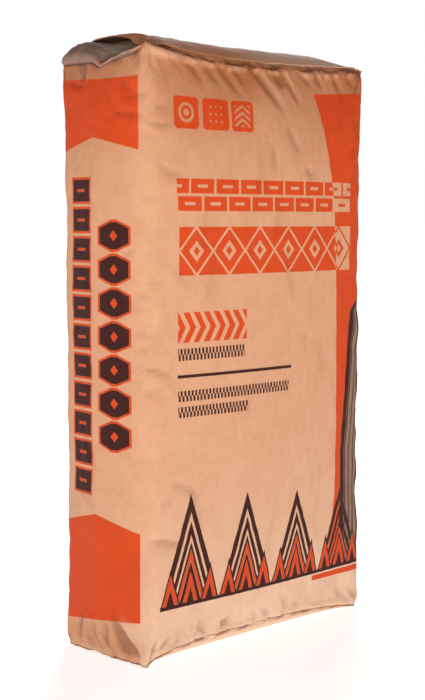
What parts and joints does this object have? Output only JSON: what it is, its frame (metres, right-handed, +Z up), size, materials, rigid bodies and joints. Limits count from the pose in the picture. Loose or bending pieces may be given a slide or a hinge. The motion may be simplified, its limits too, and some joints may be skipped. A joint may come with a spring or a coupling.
{
  "type": "filled paper cement sack",
  "caption": "Full block-bottomed kraft paper sack of cement with glued end sheets and a flat valve sleeve at one top end, standing upright.",
  "frame": {"origin": "on the floor under the middle of the sack", "axes": "+X along the broad front panel away from the valve end, +Y from the front panel to the back, +Z up"},
  "size_m": [0.3982, 0.168, 0.7065],
  "materials": {
    "printed_kraft": "matt brown kraft paper, crepe-creased, with orange and dark brown print",
    "cover_kraft": "matt brown kraft paper, unprinted, pasted down",
    "valve_kraft": "matt darker kraft paper, dusty with cement"
  },
  "bodies": {
    "root": {"paper_sack": "printed_kraft", "top_cover_sheet": "cover_kraft", "bottom_cover_sheet": "cover_kraft", "valve_sleeve": "valve_kraft"}
  },
  "joints": []
}
